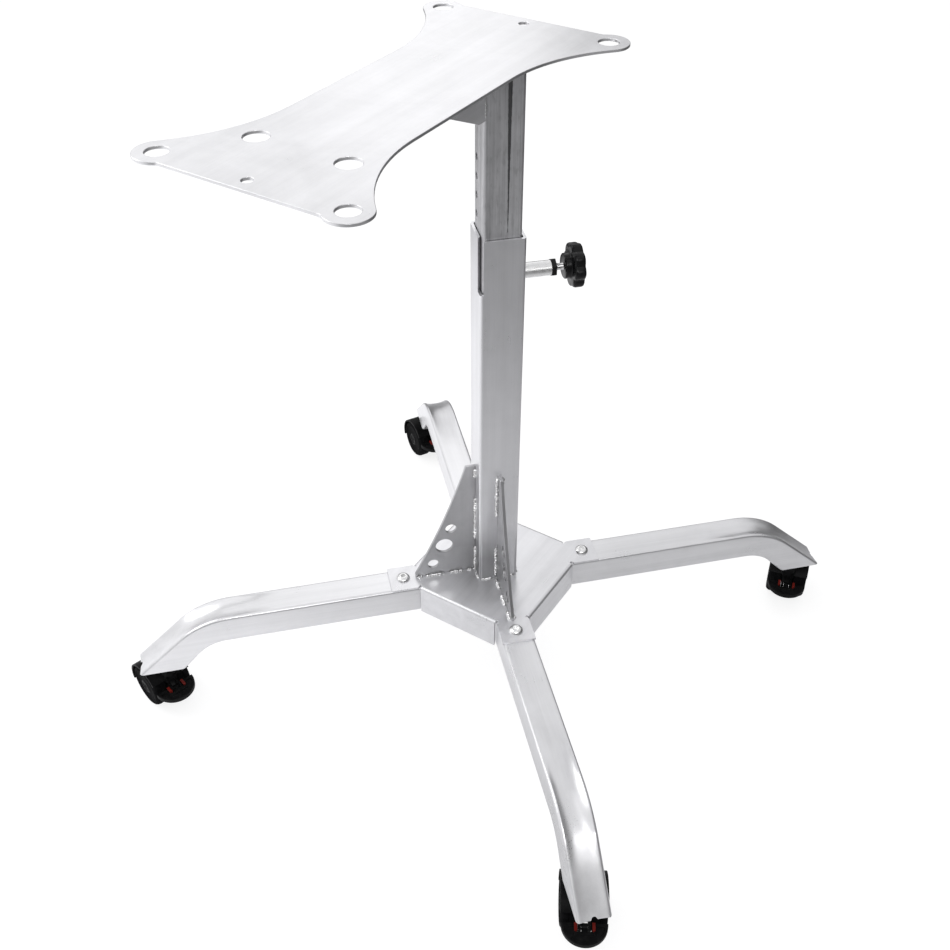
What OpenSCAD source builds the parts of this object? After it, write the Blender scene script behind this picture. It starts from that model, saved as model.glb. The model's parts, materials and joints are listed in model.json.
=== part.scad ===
// Mobile machine stand: a notched top plate on a telescoping square mast that is
// clamped by a star knob, carried by four bent tube legs on braked twin-wheel casters.
// Millimetres. +Z up from the floor, +Y towards the mast end of the top plate.

/* [Mast] */
// Height of the top plate's upper face above the floor, as drawn
table_h = 844; // [700:1:900]
// Outside width of the fixed mast sleeve
sleeve_w = 50; // [46:1:60]
// Wall of the fixed mast sleeve
sleeve_wall = 3; // [2:0.5:3]
// Length of the fixed mast sleeve
sleeve_len = 485; // [460:5:500]
// Outside width of the sliding inner tube
inner_w = 42; // [38:1:42]
// Wall of the sliding inner tube
inner_wall = 3; // [2:0.5:4]
// Length of the sliding inner tube
inner_len = 400; // [360:10:440]
// Outside corner radius of both mast tubes
tube_corner = 4; // [3:0.5:5]
// Width of the relief slot down the sleeve's front corner
slot_w = 10.6; // [9:0.1:14]
// Sideways offset of that slot from the corner line
slot_shift = 2.5; // [0:0.1:3]
// Depth of that slot from the sleeve's top edge
slot_depth = 63; // [60:1:75]
// Diameter of the index holes in the inner tube
index_d = 8; // [6:0.5:10]
// Spacing of the index holes
index_pitch = 20.8; // [18:0.1:25]
// Number of index holes
index_count = 9; // [4:1:10]
// Distance from the top plate's upper face to the first index hole
index_top = 121; // [110:1:130]
// Offset of the index holes from the middle of the tube's face
index_side = 10; // [4:1:11]

/* [Top plate] */
// Thickness of the top plate
plate_t = 3; // [2:0.5:5]
// Half the distance between the corner holes across the plate
ear_x = 92; // [85:1:100]
// Half the distance between the corner holes along the plate
ear_y = 199; // [190:1:210]
// Radius of the rounded corner ears
ear_r = 20; // [18:1:24]
// Diameter of the corner holes
ear_hole_d = 20; // [16:0.5:24]
// Half width of the plate at its waist
waist_x = 62; // [56:1:70]
// Distance from the plate's middle to where the waist starts to flare
waist_y = 75; // [60:1:85]
// Distance from the plate's middle to its straight end edges
end_y = 214; // [210:1:216]
// Radius of the small hollow beside each ear on the end edges
ear_hollow_r = 8; // [5:1:10]
// Diameter of the pair of large holes at the free end
big_hole_d = 22.5; // [20:0.5:26]
// Spacing of the pair of large holes
big_hole_gap = 91; // [80:1:100]
// Distance of the large holes from the plate's middle
big_hole_y = 137; // [120:1:150]
// Diameter of the small hole near each end
small_hole_d = 10; // [8:0.5:12]
// Distance of the small holes from the plate's middle
small_hole_y = 200; // [195:1:202]
// Distance from the mast's centre line to the plate's middle
plate_offset = 158; // [150:1:165]
// Reach of the gusset under the plate, from the mast's centre line
bracket_reach = 175; // [160:1:180]
// Depth of that gusset at the mast
bracket_drop = 69; // [60:1:70]
// Thickness of that gusset
bracket_t = 3; // [3:0.5:4]

/* [Base] */
// Height of the hub plate's upper face above the floor
hub_h = 159; // [155:1:165]
// Thickness of the folded hub plate
hub_t = 3; // [3:0.5:4]
// Reach of the hub plate's tabs over the legs
tab_reach = 138; // [132:1:145]
// Half width of the tabs
tab_half = 21; // [21:0.5:23]
// Where the tabs leave the hub's slanted edges, from the mast's centre line
hub_corner = 104; // [100:1:110]
// Depth of the hub's folded skirts
skirt_h = 42; // [36:1:46]
// Outside radius of the fold
fold_r = 5; // [4.5:0.5:6]
// Distance of the leg bolts from the mast's centre line
bolt_r = 120; // [116:1:126]
// Thread diameter of the leg bolts
bolt_d = 10; // [8:1:12]
// Height of the upright gussets on the hub
gusset_h = 172; // [160:1:185]
// Thickness of the upright gussets
gusset_t = 4; // [3:0.5:6]

/* [Legs] */
// Width and depth of the square leg tube
leg_w = 40; // [38:1:40]
// Wall of the leg tube
leg_wall = 2.5; // [2:0.5:3]
// Distance of the leg's inner end from the mast's centre line
leg_start = 42; // [36:1:50]
// Where the upper side of the leg starts to bend
bend_start = 342; // [330:1:350]
// Radius of the bend's upper side
bend_r = 100; // [95:1:105]
// Slope of the leg's upper side past the bend, in degrees
bend_a = 42; // [40:1:44]
// Where the lower side of the leg starts to bend
under_start = 352; // [345:1:356]
// Radius of the bend's lower side
under_r = 50; // [45:1:55]
// Slope of the leg's lower side past the bend, in degrees
under_a = 47; // [45:1:49]
// Height of the leg's cut end above the floor
tip_h = 78; // [76:1:82]

/* [Casters] */
// Distance of the caster stems from the mast's centre line
caster_r = 436; // [430:1:440]
// Wheel diameter
wheel_d = 60; // [56:1:60]
// Width of one wheel
wheel_w = 19; // [17:1:20]
// Width of the fork web between the two wheels
web_w = 14; // [12:1:15]
// Distance of the axle behind the swivel axis
trail = 20; // [18:1:22]
// Axle diameter
axle_d = 6; // [5:0.5:8]
// Stem diameter
stem_d = 10; // [10:0.5:11]

/* [Clamp screw] */
// Height of the clamp screw above the floor
screw_h = 592; // [585:1:600]
// Thread diameter of the clamp screw
screw_d = 8; // [6:1:10]
// Length of the threaded boss on the sleeve
boss_len = 34; // [28:1:36]
// Diameter of the threaded boss
boss_d = 17; // [15:1:20]
// Diameter of the star knob over its lobes
knob_d = 50; // [45:1:60]
// Thickness of the star knob's rim
knob_t = 13; // [11:1:16]
// Number of lobes on the star knob
knob_lobes = 8; // [6:1:9]

/* [Hidden] */
$fn = 64;
fit = 0.05;          // radial clearance of every running fit
gap = 0.5;           // clearance between pieces that only pass each other
cut = 1;             // overshoot of a cutting tool past the face it cuts
mast_x = 12;         // the mast's place in the floor rectangle
mast_y = 5;
mast_turn = 45;      // the mast's faces look along the legs
slot_turn = -135;    // the relief slot is in the sleeve's front corner

// The legs are numbered anticlockwise from the rear right one.
CORNERS = ["rear_right", "rear_left", "front_left", "front_right"];
function corner_turn(corner) = 90 * search([corner], CORNERS)[0];
// Direction that each caster trails in, in the mast's own frame
TRAIL_TURN = [60, 105, 120, 75];
function trail_turn(corner) = TRAIL_TURN[search([corner], CORNERS)[0]];

leg_top = hub_h - hub_t;
leg_bottom = leg_top - leg_w;
plate_under = table_h - plate_t;
sleeve_top = hub_h + sleeve_len;
inner_corner = (inner_w / 2 - tube_corner) * sqrt(2) + tube_corner;
flare_r = (pow(ear_y - waist_y, 2) + pow(ear_x - waist_x, 2) - pow(ear_r, 2))
    / (2 * (ear_r + ear_x - waist_x));
big = 600;           // longer than the whole base, for a solid that only cuts

function arc(c, r, a0, a1, n = 10) =
    [for (i = [0:n]) let (a = a0 + (a1 - a0) * i / n) c + r * [cos(a), sin(a)]];

module in_mast() {
    translate([mast_x, mast_y, 0]) rotate([0, 0, mast_turn]) children();
}

module on_leg(corner) {
    in_mast() rotate([0, 0, corner_turn(corner)]) children();
}

module rounded_square(w, r) {
    square([w, w - 2 * r], center = true);
    square([w - 2 * r, w], center = true);
    for (x = [-1, 1], y = [-1, 1]) translate([x, y] * (w / 2 - r)) circle(r);
}

module square_tube(w, wall, r, length) {
    linear_extrude(length) difference() {
        rounded_square(w, r);
        rounded_square(w - 2 * wall, r - wall / 2);
    }
}

// ---- Top of the stand --------------------------------------------------------

module plate_quarter() {
    flare = [waist_x + flare_r, waist_y];
    join = flare + flare_r / (flare_r + ear_r) * ([ear_x, ear_y] - flare);
    hollow_y = end_y + ear_hollow_r;
    hollow_x = ear_x - sqrt(pow(ear_r + ear_hollow_r, 2) - pow(hollow_y - ear_y, 2));
    hollow_join = [hollow_x, hollow_y] + ear_hollow_r / (ear_r + ear_hollow_r)
        * [ear_x - hollow_x, ear_y - hollow_y];
    translate([ear_x, ear_y]) circle(ear_r);
    difference() {
        polygon([[0, 0], [waist_x, 0], [waist_x, waist_y], join, [ear_x, ear_y],
                 hollow_join, [hollow_x, end_y], [0, end_y]]);
        translate(flare) circle(flare_r, $fn = 128);
        translate([hollow_x, hollow_y]) circle(ear_hollow_r);
    }
}

module top_plate() {
    color([0.87, 0.87, 0.88])
    translate([mast_x, mast_y - plate_offset, plate_under]) linear_extrude(plate_t)
    difference() {
        for (x = [0, 1], y = [0, 1]) mirror([x, 0]) mirror([0, y]) plate_quarter();
        for (x = [-1, 1], y = [-1, 1]) translate([x * ear_x, y * ear_y]) circle(d = ear_hole_d);
        for (x = [-1, 1]) translate([x * big_hole_gap / 2, -big_hole_y]) circle(d = big_hole_d);
        for (y = [-1, 1]) translate([0, y * small_hole_y]) circle(d = small_hole_d);
    }
}

module inner_tube() {
    color([0.52, 0.53, 0.54]) in_mast() difference() {
        translate([0, 0, plate_under - inner_len])
            square_tube(inner_w, inner_wall, tube_corner, inner_len);
        for (i = [0:index_count - 1])
            translate([-inner_w / 2 - cut, index_side, table_h - index_top - i * index_pitch])
                rotate([0, 90, 0]) cylinder(d = index_d, h = inner_wall + 2 * cut);
    }
}

module plate_gusset() {
    foot = 12;       // straight run of the lower edge beside the tube
    lip = 6;         // depth of the gusset's outer end
    ease = [6, 3];   // length and height of the cut corner between them
    color([0.55, 0.56, 0.57]) translate([mast_x - bracket_t / 2, mast_y, plate_under])
        rotate([90, 0, 90]) linear_extrude(bracket_t)
            polygon([[-inner_corner, 0], [-bracket_reach, 0], [-bracket_reach, -lip],
                     [-inner_corner - foot - ease[0], -bracket_drop + ease[1]],
                     [-inner_corner - foot, -bracket_drop], [-inner_corner, -bracket_drop]]);
}

// ---- Fixed mast and clamp ----------------------------------------------------

module mast_sleeve() {
    color([0.72, 0.73, 0.74]) in_mast() difference() {
        translate([0, 0, hub_h]) square_tube(sleeve_w, sleeve_wall, tube_corner, sleeve_len);
        translate([0, 0, sleeve_top - slot_depth]) rotate([0, 0, slot_turn])
            translate([inner_w / 2, -slot_w / 2 - slot_shift, 0])
                cube([sleeve_w, slot_w, slot_depth + cut]);
        translate([sleeve_w / 2 - sleeve_wall - cut, 0, screw_h]) rotate([0, 90, 0])
            cylinder(r = screw_d / 2 + fit, h = sleeve_wall + 2 * cut);
    }
}

pad_t = 3.5;         // clamp pad thickness
pad_stud_r = 1.5;    // stud that holds the pad in the screw's end
pad_stud_len = 4;
pad_gap = 1;         // pad to inner tube, as drawn
pad_play = 0.4;      // the pad is this much smaller in radius than the screw
pad_x = inner_w / 2 + pad_gap;
boss_end = sleeve_w / 2 + boss_len;
nut_t = 5;           // jam nut thickness
nut_flats = 18;      // jam nut across its flats
knob_hub_d = 28;
knob_hub_len = 7;
knob_hub_gap = 9;    // bare screw between the jam nut and the knob's hub
knob_skin = 3;       // the screw ends this far below the knob's face
knob_x = boss_end + nut_t + knob_hub_gap + knob_hub_len;

module along_screw(x) {
    in_mast() translate([x, 0, screw_h]) rotate([0, 90, 0]) children();
}

module threaded_boss() {
    color([0.8, 0.81, 0.82]) along_screw(sleeve_w / 2) difference() {
        cylinder(d = boss_d, h = boss_len);
        translate([0, 0, -cut]) cylinder(r = screw_d / 2 + fit, h = boss_len + 2 * cut);
    }
}

module jam_nut() {
    color([0.3, 0.3, 0.32]) along_screw(boss_end) difference() {
        cylinder(d = nut_flats / cos(30), h = nut_t, $fn = 6);
        translate([0, 0, -cut]) cylinder(r = screw_d / 2 + fit, h = nut_t + 2 * cut);
    }
}

module clamp_screw() {
    start = pad_x + pad_t;
    color([0.7, 0.7, 0.72]) along_screw(start) difference() {
        cylinder(d = screw_d, h = knob_x + knob_t - knob_skin - start);
        translate([0, 0, -cut]) cylinder(r = pad_stud_r + fit, h = pad_stud_len + 2 * cut);
    }
}

module clamp_pad() {
    color([0.75, 0.65, 0.4]) along_screw(pad_x) {
        cylinder(r = screw_d / 2 - pad_play, h = pad_t);
        cylinder(r = pad_stud_r, h = pad_t + pad_stud_len);
    }
}

module star_knob() {
    lobe_r = 5.5;
    valley_r = 4.95;
    lobe_c = knob_d / 2 - lobe_r;
    color([0.06, 0.06, 0.06]) difference() {
        along_screw(knob_x) {
            linear_extrude(knob_t) difference() {
                union() {
                    circle(lobe_c);
                    for (i = [0:knob_lobes - 1]) rotate(i * 360 / knob_lobes)
                        translate([lobe_c, 0]) circle(lobe_r, $fn = 32);
                }
                for (i = [0:knob_lobes - 1]) rotate((i + 0.5) * 360 / knob_lobes)
                    translate([knob_d / 2, 0]) circle(valley_r, $fn = 32);
            }
            translate([0, 0, -knob_hub_len]) cylinder(d = knob_hub_d, h = knob_hub_len + cut);
        }
        along_screw(knob_x - knob_hub_len - cut)
            cylinder(d = screw_d, h = knob_hub_len + knob_t - knob_skin + cut);
    }
}

// ---- Hub and legs ------------------------------------------------------------

skirt_len = (hub_corner - tab_half) * sqrt(2);
skirt_out = (hub_corner + tab_half) / sqrt(2);
skirt_inset = 3;     // the skirts stop short of the legs by this much

module hub_outline() {
    polygon([for (k = [0:3]) for (p = [[hub_corner, -tab_half], [tab_reach, -tab_half],
                                       [tab_reach, tab_half], [hub_corner, tab_half]])
        [p[0] * cos(90 * k) - p[1] * sin(90 * k), p[0] * sin(90 * k) + p[1] * cos(90 * k)]]);
}

module skirt_section() {
    centre = [-fold_r, -fold_r];
    polygon(concat(arc(centre, fold_r, 90, 0, 6), [[0, -skirt_h], [-hub_t, -skirt_h]],
                   arc(centre, fold_r - hub_t, 0, 90, 6),
                   [[-fold_r - cut, -hub_t], [-fold_r - cut, 0]]));
}

module hub_plate() {
    color([0.7, 0.71, 0.72]) in_mast() translate([0, 0, hub_h]) {
        translate([0, 0, -hub_t]) linear_extrude(hub_t) difference() {
            hub_outline();
            for (k = [0:3]) rotate(90 * k) {
                translate([bolt_r, 0]) circle(d = bolt_d + 2 * fit);
                rotate(45) translate([skirt_out - fold_r, -skirt_len / 2])
                    square([fold_r + cut, skirt_len]);
            }
        }
        for (k = [0:3]) rotate([0, 0, 90 * k + 45])
            translate([skirt_out, skirt_len / 2 - skirt_inset, 0]) rotate([90, 0, 0])
                linear_extrude(skirt_len - 2 * skirt_inset) skirt_section();
    }
}

// Side view of the leg tube, drawn in by the wall thickness for its hollow.
// The hollow runs past both ends, so that the tube is open.
module leg_side(wall = 0, past = 0) {
    top = leg_top - wall;
    bottom = leg_bottom + wall;
    over_c = [bend_start, leg_top - bend_r];
    under_c = [under_start, leg_bottom - under_r];
    over_end = over_c + (bend_r - wall) * [sin(bend_a), cos(bend_a)];
    under_end = under_c + (under_r + wall) * [sin(under_a), cos(under_a)];
    low = tip_h - past;
    polygon(concat(
        [[leg_start - past, bottom], [leg_start - past, top]],
        arc(over_c, bend_r - wall, 90, 90 - bend_a, 14),
        [[over_end[0] + (over_end[1] - low) / tan(bend_a), low],
         [under_end[0] + (under_end[1] - low) / tan(under_a), low]],
        arc(under_c, under_r + wall, 90 - under_a, 90, 14)));
}

module leg(corner) {
    notch_r = 4;     // half-round notch in the lip of the leg's cut end
    lip_x = bend_start + bend_r * sin(bend_a)
        + (leg_top - bend_r * (1 - cos(bend_a)) - tip_h) / tan(bend_a);
    color([0.8, 0.81, 0.82]) on_leg(corner) difference() {
        rotate([90, 0, 0]) linear_extrude(leg_w, center = true) leg_side();
        rotate([90, 0, 0]) linear_extrude(leg_w - 2 * leg_wall, center = true)
            leg_side(leg_wall, cut);
        translate([bolt_r, 0, leg_bottom - cut]) cylinder(r = bolt_d / 2 + fit, h = leg_w + 2 * cut);
        translate([lip_x - 2 * notch_r, 0, tip_h]) rotate([0, 90 - bend_a, 0])
            cylinder(r = notch_r, h = 4 * notch_r, center = true);
    }
}

head_d = 17.5;       // button head
crown_d = 10.5;      // flat on top of the head
head_h = 5;
hex_d = 7;           // hexagon socket, over its corners
hex_h = 3;
bolt_past = 2;       // thread past the nut
washer_t = 2;
washer_d = 20;
leg_nut_t = 8;
leg_nut_flats = 16;

module leg_bolts() {
    color([0.75, 0.76, 0.78]) in_mast() for (k = [0:3]) rotate([0, 0, 90 * k])
        translate([bolt_r, 0, 0]) {
            translate([0, 0, hub_h]) difference() {
                cylinder(d1 = head_d, d2 = crown_d, h = head_h);
                translate([0, 0, head_h - hex_h]) cylinder(d = hex_d, h = hex_h + cut, $fn = 6);
            }
            translate([0, 0, leg_bottom - washer_t - leg_nut_t - bolt_past])
                cylinder(d = bolt_d, h = hub_h - leg_bottom + washer_t + leg_nut_t + bolt_past);
        }
}

module leg_nuts() {
    color([0.6, 0.61, 0.63]) in_mast() for (k = [0:3]) rotate([0, 0, 90 * k])
        translate([bolt_r, 0, leg_bottom - washer_t - leg_nut_t]) difference() {
            union() {
                cylinder(d = leg_nut_flats / cos(30), h = leg_nut_t, $fn = 6);
                translate([0, 0, leg_nut_t]) cylinder(d = washer_d, h = washer_t);
            }
            translate([0, 0, -cut]) cylinder(r = bolt_d / 2 + fit, h = leg_nut_t + washer_t + 2 * cut);
        }
}

// Upright gusset beside the sleeve, with three round lightening holes set along its
// slightly hollow long edge.
module gusset() {
    head = 12;       // width of the gusset's top
    toe_x = hub_corner;
    toe_h = 5;
    hollow_r = 980;
    top = [sleeve_w / 2 + head, gusset_h];
    toe = [toe_x, toe_h];
    mid = (top + toe) / 2;
    run = norm(top - toe);
    side = [top[1] - toe[1], toe[0] - top[0]] / run;
    centre = mid + side * sqrt(hollow_r * hollow_r - run * run / 4);
    // Each hole's share of the way from toe to top, its depth below that line, its radius
    holes = [[0.12, 17, 7], [0.3, 20, 11], [0.46, 18, 7]];
    rotate([90, 0, 0]) linear_extrude(gusset_t, center = true) difference() {
        polygon([[sleeve_w / 2, 0], [toe_x, 0], toe, top, [sleeve_w / 2, gusset_h]]);
        translate(centre) circle(hollow_r, $fn = 720);
        for (hole = holes)
            translate(toe + hole[0] * (top - toe) - side * hole[1]) circle(hole[2]);
    }
}

module gusset_front_left() {
    color([0.68, 0.69, 0.7]) in_mast() translate([0, 0, hub_h]) rotate([0, 0, 180]) gusset();
}

module gusset_front_right() {
    color([0.68, 0.69, 0.7]) in_mast() translate([0, 0, hub_h]) rotate([0, 0, 270]) gusset();
}

// ---- Casters -----------------------------------------------------------------

axle_h = wheel_d / 2;
hood_gap = 1.2;      // tread to hood
hood_t = 2.3;
hood_in = wheel_d / 2 + hood_gap;
hood_out = hood_in + hood_t;
wheel_in = web_w / 2 + gap;
wheel_out = wheel_in + wheel_w;
neck_r = 10;         // round neck around the stem
neck_base = 44;
neck_top = 70;
axle_boss_r = 12;    // boss of the fork web around the axle
axle_sunk = 2;       // the axle ends this far inside the wheels' outer faces
web_front = [36, 56];        // heights of the fork web's front edge
web_side = [8, 6];           // half widths of the web where it leaves the axle boss
nose_x = 20;         // nose of the web that carries the brake lever
nose_back = [34, 46];        // heights of the nose at the neck
nose_front = [34, 43];       // and at its front end
stem_low = 48;       // lower end of the stem, inside the neck
keeper_r = stem_d / 2 + 1;   // keeper ring at the stem's lower end
keeper_h = 4;
collar_h = 6;        // hexagon collar of the stem, just under the leg's end
collar_flats = 17;
socket_h = 20;       // depth of the stem socket inside the leg's end
lever_pivot = [15, 38];
lever_w = 7;
lever_boss_r = 4;
pedal_back = 12;     // round foot pedal at the lever's end: its straight rear edge
pedal_front = 38;    // and its foremost point, ahead of the stem
pedal_half = 26;     // half width
pedal_z = [35, 41];  // heights of the pedal's lower and upper faces
pedal_rim = 4;       // width of the raised rim
pedal_sunk = 1.5;    // depth of the pedal's middle below the rim
pin_r = 1.5;

module at_stem(corner) {
    on_leg(corner) translate([caster_r, 0, 0]) children();
}

module at_caster(corner) {
    at_stem(corner) rotate([0, 0, trail_turn(corner) - corner_turn(corner) + 180]) children();
}

// Caster section seen from its side: x forwards, so the axle is at x = -trail.
module caster_side() {
    rotate([90, 0, 0]) linear_extrude(web_w, center = true) children();
}

module stem_socket(corner) {
    side = leg_w - 2 * leg_wall - 2 * fit;
    color([0.2, 0.2, 0.21]) on_leg(corner) difference() {
        intersection() {
            rotate([90, 0, 0]) linear_extrude(side, center = true) leg_side(leg_wall + fit, 0);
            translate([0, -side, tip_h]) cube([big, 2 * side, socket_h]);
        }
        translate([caster_r, 0, tip_h - cut]) cylinder(d = stem_d, h = socket_h + 2 * cut);
    }
}

module caster_stem(corner) {
    color([0.65, 0.66, 0.68]) at_stem(corner) {
        translate([0, 0, stem_low]) cylinder(d = stem_d, h = tip_h + socket_h - stem_low);
        translate([0, 0, stem_low]) cylinder(r = keeper_r, h = keeper_h);
        translate([0, 0, tip_h - collar_h])
            cylinder(d = collar_flats / cos(30), h = collar_h, $fn = 6);
    }
}

// The neck is cut away beside the web, where the wheels turn.
module caster_neck() {
    difference() {
        translate([0, 0, neck_base]) cylinder(r = neck_r, h = neck_top - neck_base);
        for (side = [-1, 1]) translate([-trail, side * (web_w / 2 + neck_r), axle_h])
            rotate([90, 0, 0]) cylinder(r = hood_in, h = 2 * neck_r, center = true);
    }
}

module caster_web() {
    translate([-trail, axle_h]) circle(axle_boss_r);
    polygon([[-trail - web_side[1], axle_h + web_side[0]], [-trail - web_side[0], axle_h + hood_in],
             [neck_r, web_front[1]], [neck_r, web_front[0]],
             [-trail + web_side[0], axle_h - web_side[0]]]);
    polygon([[neck_r - lever_boss_r, nose_back[0]], [neck_r - lever_boss_r, nose_back[1]],
             [nose_x, nose_front[1]], [nose_x, nose_front[0]]]);
}

module caster_hood(corner) {
    slot_top = 50;   // top of the slot that the brake lever tips in
    color([0.07, 0.07, 0.07]) at_caster(corner) difference() {
        union() {
            caster_side() caster_web();
            rotate([90, 0, 0]) linear_extrude(2 * wheel_out, center = true) hood_arc();
            caster_neck();
        }
        translate([0, 0, stem_low - gap]) cylinder(r = keeper_r + gap, h = keeper_h + 2 * gap);
        translate([0, 0, stem_low - gap]) cylinder(r = stem_d / 2 + fit, h = neck_top);
        translate([-trail, 0, axle_h]) rotate([90, 0, 0])
            cylinder(d = axle_d, h = web_w + 2 * cut, center = true);
        translate([lever_pivot[0] - 2 * lever_boss_r, -lever_w / 2 - gap, axle_h])
            cube([nose_x, lever_w + 2 * gap, slot_top - axle_h]);
        translate([lever_pivot[0], 0, lever_pivot[1]]) rotate([90, 0, 0])
            cylinder(r = pin_r, h = web_w + 2 * cut, center = true);
    }
}

module hood_arc() {
    start = 38;      // angles of the hood's ends about the axle
    end = 196;
    difference() {
        translate([-trail, axle_h]) circle(hood_out);
        translate([-trail, axle_h]) circle(hood_in);
        translate([-trail, axle_h]) polygon(concat([[0, 0]],
            arc([0, 0], hood_out * 2, end, 360 + start, 8)));
    }
}

module caster_axle(corner) {
    color([0.7, 0.7, 0.72]) at_caster(corner) translate([-trail, 0, axle_h]) rotate([90, 0, 0])
        cylinder(d = axle_d, h = 2 * (wheel_out - axle_sunk), center = true);
}

// One wheel, hollowed on its outer side around the hub, rounded at its tread.
module wheel() {
    tread = 3;       // radius of the tread's edges
    hub_r = 9;
    hub_sunk = 3;    // depth of the hub's face
    dish = 6;        // depth of the hollow around it
    rim = 7;         // wall outside the hollow
    rotate_extrude($fn = 96) difference() {
        union() {
            translate([axle_d / 2 + fit, 0]) square([wheel_d / 2 - tread - axle_d / 2 - fit, wheel_w]);
            translate([wheel_d / 2 - 2 * tread, tread])
                square([2 * tread, wheel_w - 2 * tread]);
            for (y = [tread, wheel_w - tread]) translate([wheel_d / 2 - tread, y])
                circle(tread, $fn = 32);
        }
        translate([hub_r, wheel_w - dish]) square([wheel_d / 2 - hub_r - rim, dish + cut]);
        translate([0, wheel_w - hub_sunk]) square([hub_r, hub_sunk + cut]);
    }
}

module wheel_left(corner) {
    color([0.1, 0.1, 0.1]) at_caster(corner) translate([-trail, wheel_in, axle_h])
        rotate([-90, 0, 0]) wheel();
}

module wheel_right(corner) {
    color([0.1, 0.1, 0.1]) at_caster(corner) translate([-trail, -wheel_in, axle_h])
        rotate([90, 0, 0]) wheel();
}

module pedal_outline(inset) {
    back = pedal_back + inset;
    half = pedal_half - inset;
    reach = pedal_front - inset - back;
    polygon([for (i = [0:24]) let (a = -90 + 180 * i / 24)
        [back + reach * cos(a), half * sin(a)]]);
}

// The pedal is notched around the nose of the fork web.
module brake_lever(corner) {
    notch_x = nose_x + 2;
    color([0.1, 0.1, 0.1]) at_caster(corner) difference() {
        union() {
            rotate([90, 0, 0]) linear_extrude(lever_w, center = true) {
                translate(lever_pivot) circle(lever_boss_r);
                translate([lever_pivot[0], pedal_z[0]])
                    square([notch_x + 2 - lever_pivot[0], pedal_z[1] - pedal_z[0]]);
            }
            translate([0, 0, pedal_z[0]]) linear_extrude(pedal_z[1] - pedal_z[0]) difference() {
                pedal_outline(0);
                translate([0, -web_w / 2 - gap]) square([notch_x, web_w + 2 * gap]);
            }
        }
        translate([0, 0, pedal_z[1] - pedal_sunk]) linear_extrude(pedal_sunk + cut) difference() {
            pedal_outline(pedal_rim);
            square([2 * notch_x + 2 * pedal_rim, web_w + 2 * pedal_rim], center = true);
        }
        translate([lever_pivot[0], 0, lever_pivot[1]]) rotate([90, 0, 0])
            cylinder(r = pin_r + fit, h = lever_w + 2 * cut, center = true);
    }
}

module brake_pin(corner) {
    color([0.7, 0.7, 0.72]) at_caster(corner)
        translate([lever_pivot[0], 0, lever_pivot[1]]) rotate([90, 0, 0])
            cylinder(r = pin_r, h = web_w, center = true);
}

hub_plate();
leg("front_left");  // leg_front_left
leg("front_right");  // leg_front_right
leg("rear_left");  // leg_rear_left
leg("rear_right");  // leg_rear_right
leg_bolts();
leg_nuts();
mast_sleeve();
gusset_front_left();
gusset_front_right();
threaded_boss();
jam_nut();
clamp_screw();
star_knob();
clamp_pad();
inner_tube();
top_plate();
plate_gusset();
stem_socket("front_left");  // stem_socket_front_left
stem_socket("front_right");  // stem_socket_front_right
stem_socket("rear_left");  // stem_socket_rear_left
stem_socket("rear_right");  // stem_socket_rear_right
caster_stem("front_left");  // caster_stem_front_left
caster_stem("front_right");  // caster_stem_front_right
caster_stem("rear_left");  // caster_stem_rear_left
caster_stem("rear_right");  // caster_stem_rear_right
caster_hood("front_left");  // caster_hood_front_left
caster_hood("front_right");  // caster_hood_front_right
caster_hood("rear_left");  // caster_hood_rear_left
caster_hood("rear_right");  // caster_hood_rear_right
caster_axle("front_left");  // caster_axle_front_left
caster_axle("front_right");  // caster_axle_front_right
caster_axle("rear_left");  // caster_axle_rear_left
caster_axle("rear_right");  // caster_axle_rear_right
wheel_left("front_left");  // wheel_left_front_left
wheel_left("front_right");  // wheel_left_front_right
wheel_left("rear_left");  // wheel_left_rear_left
wheel_left("rear_right");  // wheel_left_rear_right
wheel_right("front_left");  // wheel_right_front_left
wheel_right("front_right");  // wheel_right_front_right
wheel_right("rear_left");  // wheel_right_rear_left
wheel_right("rear_right");  // wheel_right_rear_right
brake_lever("front_left");  // brake_lever_front_left
brake_lever("front_right");  // brake_lever_front_right
brake_lever("rear_left");  // brake_lever_rear_left
brake_lever("rear_right");  // brake_lever_rear_right
brake_pin("front_left");  // brake_pin_front_left
brake_pin("front_right");  // brake_pin_front_right
brake_pin("rear_left");  // brake_pin_rear_left
brake_pin("rear_right");  // brake_pin_rear_right
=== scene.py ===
import json
import math
import random

import bmesh
import bpy
from mathutils import Matrix, Vector


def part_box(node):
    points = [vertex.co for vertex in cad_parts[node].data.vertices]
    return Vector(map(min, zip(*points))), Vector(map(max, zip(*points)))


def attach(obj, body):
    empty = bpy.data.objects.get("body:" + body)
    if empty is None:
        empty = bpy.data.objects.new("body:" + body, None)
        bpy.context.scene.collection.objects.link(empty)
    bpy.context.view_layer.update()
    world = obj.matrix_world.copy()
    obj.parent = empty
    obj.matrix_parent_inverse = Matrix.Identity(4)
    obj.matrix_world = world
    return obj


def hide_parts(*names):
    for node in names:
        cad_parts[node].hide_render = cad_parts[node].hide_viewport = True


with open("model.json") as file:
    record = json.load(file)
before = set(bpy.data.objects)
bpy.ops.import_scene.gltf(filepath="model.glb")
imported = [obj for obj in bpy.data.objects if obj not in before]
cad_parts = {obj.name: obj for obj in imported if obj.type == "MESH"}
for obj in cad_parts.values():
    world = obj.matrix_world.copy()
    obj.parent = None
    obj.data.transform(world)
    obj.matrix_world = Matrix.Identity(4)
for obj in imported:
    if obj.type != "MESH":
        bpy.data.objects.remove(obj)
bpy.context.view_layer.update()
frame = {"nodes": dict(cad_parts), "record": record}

# A machine stand: a top plate on a telescoping square mast, four bent legs and casters.
# Objects are in metres. Profiles, outlines and weld runs are in millimetres, and MM turns
# them into metres.

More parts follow.
